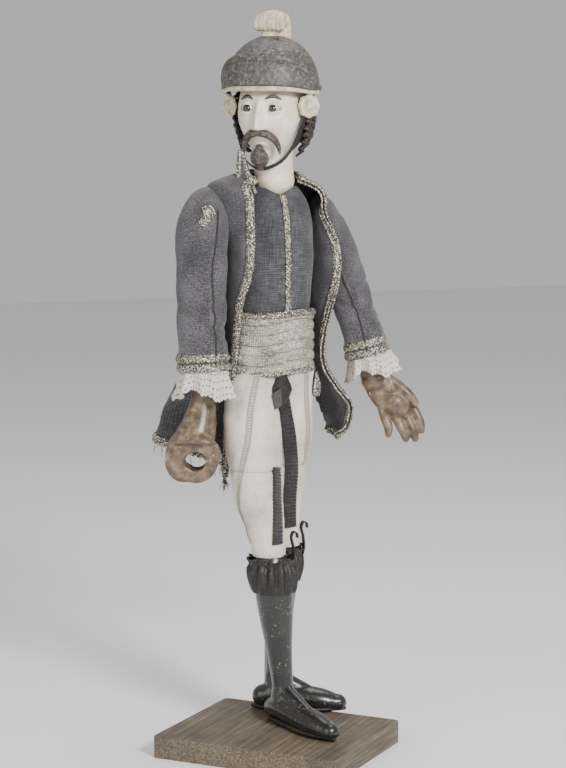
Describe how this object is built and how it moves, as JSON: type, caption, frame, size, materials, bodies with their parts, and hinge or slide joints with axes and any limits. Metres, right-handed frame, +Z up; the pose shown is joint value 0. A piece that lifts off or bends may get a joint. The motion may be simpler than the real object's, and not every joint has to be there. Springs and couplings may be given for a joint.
{
  "type": "marionette puppet",
  "caption": "Carved wooden soldier marionette in cloth coat, sash and painted boots, standing on a rectangular wooden board, with hinged arms, legs and head.",
  "frame": {"origin": "centre of the board's underside", "axes": "+Z up; the figure faces -Y; +X is the figure's own left side"},
  "size_m": [0.2518, 0.2146, 0.631],
  "materials": {
    "pine_board": "worn waxed softwood, cut across with visible grain",
    "steel": "plain drawn steel",
    "bare_wood": "bare carved limewood",
    "thong_leather": "plain leather strip",
    "lame_cloth": "pale metallic lame, pleated",
    "wool_cloth": "dark slubbed plain weave",
    "face_paint": "aged flesh oil paint over gesso",
    "hair_paint": "dark brown oil paint",
    "eye_glass": "glossy painted eye",
    "helmet_paint": "worn dark oil paint",
    "gesso_paint": "pale gesso, rubbed",
    "strap_leather": "narrow dark leather",
    "lace": "gathered cotton lace",
    "hand_paint": "flesh paint worn and darkened by handling",
    "trouser_cloth": "pale cotton twill",
    "boot_paint": "chipped glossy black paint",
    "boot_leather": "thin gathered black leather"
  },
  "bodies": {
    "root": {"base_board": "pine_board", "support_rod": "steel", "rod_bracket": "steel", "bracket_screws": "steel", "pelvis_block": "bare_wood", "hip_thongs": "thong_leather", "waist_dowel": "bare_wood", "sash": "lame_cloth"},
    "chest": {"chest_block": "bare_wood", "waistcoat": "wool_cloth", "coat_back": "wool_cloth", "coat_front_right": "wool_cloth", "coat_front_left": "wool_cloth"},
    "neck": {"neck_peg": "bare_wood"},
    "head": {"head_core": "face_paint", "neck_pin": "steel", "eyes": "eye_glass", "moustache": "hair_paint", "goatee": "hair_paint", "hair": "hair_paint", "helmet_shell": "helmet_paint", "helmet_front_plate": "helmet_paint", "helmet_crest": "gesso_paint", "rosette_bosses": "gesso_paint", "chin_strap": "strap_leather"},
    "shoulder_right": {"shoulder_peg_right": "bare_wood"},
    "upper_arm_right": {"upper_arm_right": "bare_wood", "upper_arm_pins_right": "steel", "sleeve_upper_right": "wool_cloth"},
    "forearm_right": {"forearm_right": "bare_wood", "sleeve_lower_right": "wool_cloth", "cuff_lace_right": "lace"},
    "hand_right": {"hand_right": "hand_paint", "wrist_pin_right": "steel"},
    "shoulder_left": {"shoulder_peg_left": "bare_wood"},
    "upper_arm_left": {"upper_arm_left": "bare_wood", "upper_arm_pins_left": "steel", "sleeve_upper_left": "wool_cloth"},
    "forearm_left": {"forearm_left": "bare_wood", "sleeve_lower_left": "wool_cloth", "cuff_lace_left": "lace"},
    "hand_left": {"hand_left": "hand_paint", "wrist_pin_left": "steel"},
    "thigh_right": {"thigh_right": "bare_wood", "thigh_pins_right": "steel", "trouser_leg_right": "trouser_cloth"},
    "shin_right": {"boot_shaft_right": "boot_paint", "boot_cuff_right": "boot_leather"},
    "foot_right": {"boot_foot_right": "boot_paint", "ankle_pin_right": "steel"},
    "thigh_left": {"thigh_left": "bare_wood", "thigh_pins_left": "steel", "trouser_leg_left": "trouser_cloth"},
    "shin_left": {"boot_shaft_left": "boot_paint", "boot_cuff_left": "boot_leather"},
    "foot_left": {"boot_foot_left": "boot_paint", "ankle_pin_left": "steel"}
  },
  "joints": [
    {"name": "waist_turn", "type": "hinge", "parent": "root", "child": "chest", "pos_m": [0.01, 0.039, 0.376], "axis": [0, 0, 1], "range_deg": [-10, 10]},
    {"name": "head_turn", "type": "hinge", "parent": "chest", "child": "neck", "pos_m": [0.01, 0.039, 0.47], "axis": [0, 0, 1], "range_deg": [-20, 75]},
    {"name": "head_nod", "type": "hinge", "parent": "neck", "child": "head", "pos_m": [0.01, 0.039, 0.492], "axis": [0.766, -0.6428, 0], "range_deg": [-10, 12]},
    {"name": "shoulder_swing_right", "type": "hinge", "parent": "chest", "child": "shoulder_right", "pos_m": [-0.05, 0.041, 0.452], "axis": [-1, 0, 0], "range_deg": [0, 90]},
    {"name": "shoulder_raise_right", "type": "hinge", "parent": "shoulder_right", "child": "upper_arm_right", "pos_m": [-0.05, 0.041, 0.452], "axis": [0, 1, 0], "range_deg": [0, 55]},
    {"name": "elbow_right", "type": "hinge", "parent": "upper_arm_right", "child": "forearm_right", "pos_m": [-0.054, 0.041, 0.378], "axis": [-0.9998, 0, 0.021], "range_deg": [0, 75]},
    {"name": "wrist_right", "type": "hinge", "parent": "forearm_right", "child": "hand_right", "pos_m": [-0.053, 0.037, 0.309], "axis": [-0.9998, 0, 0.021], "range_deg": [0, 30]},
    {"name": "shoulder_swing_left", "type": "hinge", "parent": "chest", "child": "shoulder_left", "pos_m": [0.064, 0.052, 0.446], "axis": [-1, 0, 0], "range_deg": [0, 90]},
    {"name": "shoulder_raise_left", "type": "hinge", "parent": "shoulder_left", "child": "upper_arm_left", "pos_m": [0.064, 0.052, 0.446], "axis": [0, -1, 0], "range_deg": [0, 55]},
    {"name": "elbow_left", "type": "hinge", "parent": "upper_arm_left", "child": "forearm_left", "pos_m": [0.085, 0.047, 0.385], "axis": [-0.9583, 0, -0.2859], "range_deg": [0, 75]},
    {"name": "wrist_left", "type": "hinge", "parent": "forearm_left", "child": "hand_left", "pos_m": [0.101, 0.039, 0.322], "axis": [-0.0301, -0.9925, 0.1184], "range_deg": [0, 30]},
    {"name": "hip_right", "type": "hinge", "parent": "root", "child": "thigh_right", "pos_m": [-0.008, 0.039, 0.304], "axis": [-1, 0, 0], "range_deg": [0, 40]},
    {"name": "knee_right", "type": "hinge", "parent": "thigh_right", "child": "shin_right", "pos_m": [-0.001, 0.015, 0.182], "axis": [-1, 0, 0], "range_deg": [-40, 0]},
    {"name": "ankle_right", "type": "hinge", "parent": "shin_right", "child": "foot_right", "pos_m": [0.009, 0.011, 0.048], "axis": [-1, 0, 0], "range_deg": [-8, 0]},
    {"name": "hip_left", "type": "hinge", "parent": "root", "child": "thigh_left", "pos_m": [0.028, 0.039, 0.304], "axis": [-0.4512, -0.8924, 0], "range_deg": [0, 30]},
    {"name": "knee_left", "type": "hinge", "parent": "thigh_left", "child": "shin_left", "pos_m": [0.022, 0.054, 0.182], "axis": [-0.4512, -0.8924, 0], "range_deg": [-30, 0]},
    {"name": "ankle_left", "type": "hinge", "parent": "shin_left", "child": "foot_left", "pos_m": [0.019, 0.057, 0.048], "axis": [-0.4512, -0.8924, 0], "range_deg": [0, 3]}
  ],
  "couplings": [
    {"joint": "knee_right", "follows": "hip_right", "ratio": -1},
    {"joint": "ankle_right", "follows": "hip_right", "ratio": -0.2},
    {"joint": "knee_left", "follows": "hip_left", "ratio": -1},
    {"joint": "ankle_left", "follows": "hip_left", "ratio": 0.1}
  ]
}
